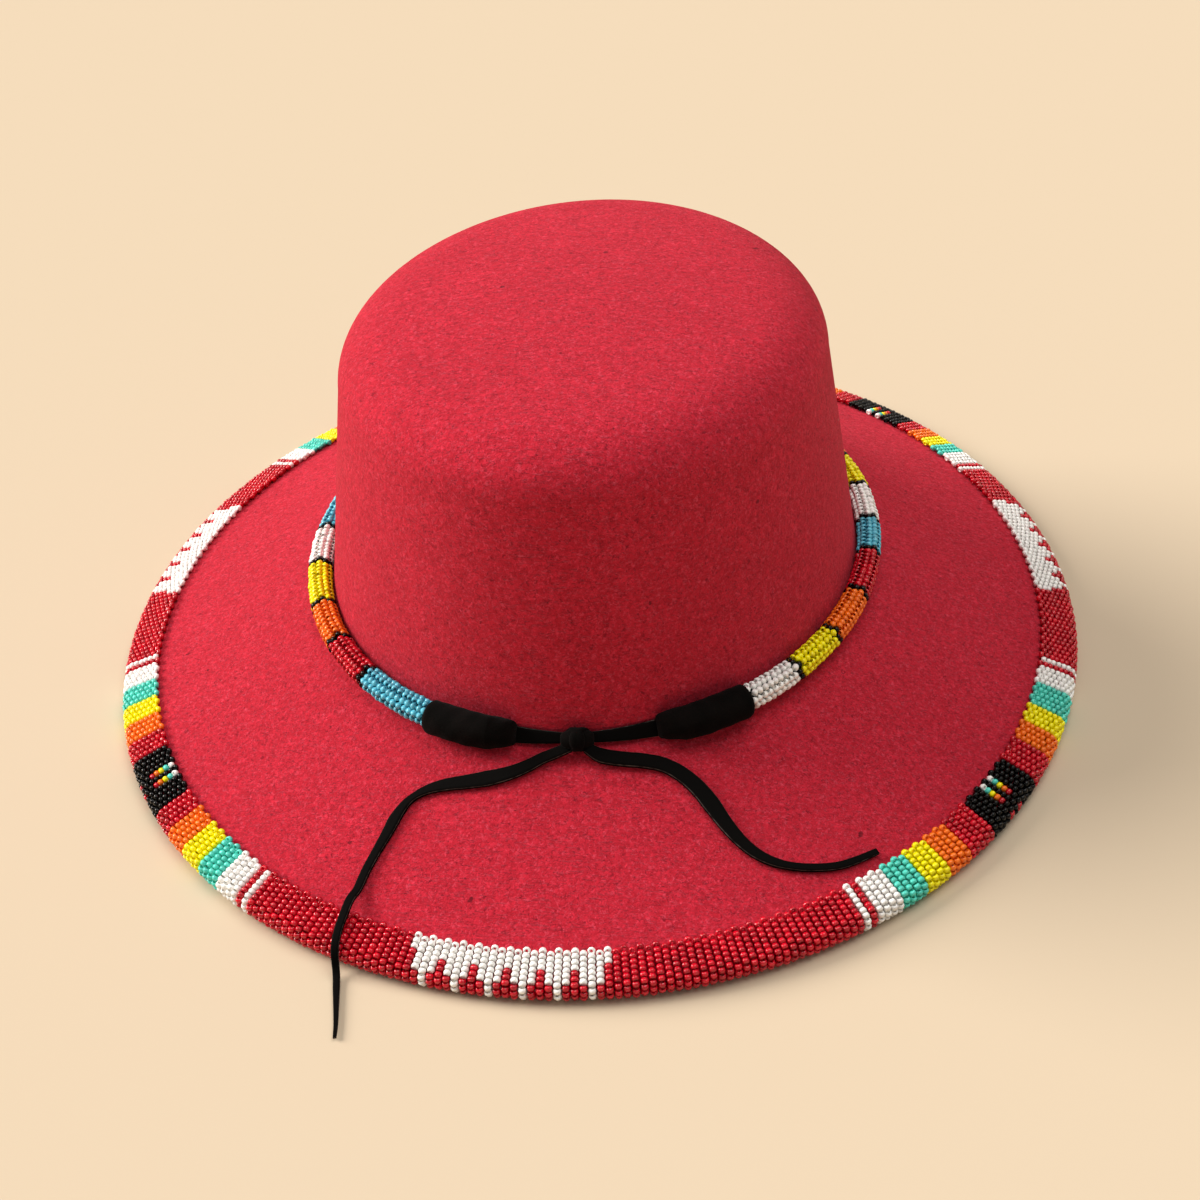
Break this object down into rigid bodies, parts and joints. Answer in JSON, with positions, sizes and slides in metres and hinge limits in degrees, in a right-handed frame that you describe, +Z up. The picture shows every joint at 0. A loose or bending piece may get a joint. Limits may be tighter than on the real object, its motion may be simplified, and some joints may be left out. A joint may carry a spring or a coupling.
{
  "type": "felt hat with beaded brim",
  "caption": "Red wool felt hat, open flat-topped crown and wide sloping brim, beads wrapped over the brim's edge, beaded rope hatband and black suede tie with loose tails",
  "frame": {"origin": "on the table under the middle of the hat's oval, at the level of the brim's beaded edge", "axes": "+Z up through the crown, Y along the length of the head with the tie on the -Y side, X across the head"},
  "size_m": [0.3222, 0.3704, 0.1274],
  "materials": {
    "felt": "matte",
    "rim_beads": "gloss",
    "rope_beads": "gloss",
    "suede": "matte"
  },
  "bodies": {
    "root": {"felt_body": "felt", "brim_bead_edge": "rim_beads", "hatband_rope": "rope_beads", "left_wrap": "suede", "right_wrap": "suede", "left_lace": "suede", "right_lace": "suede", "tie_knot": "suede", "left_tail": "suede", "right_tail": "suede"}
  },
  "joints": []
}
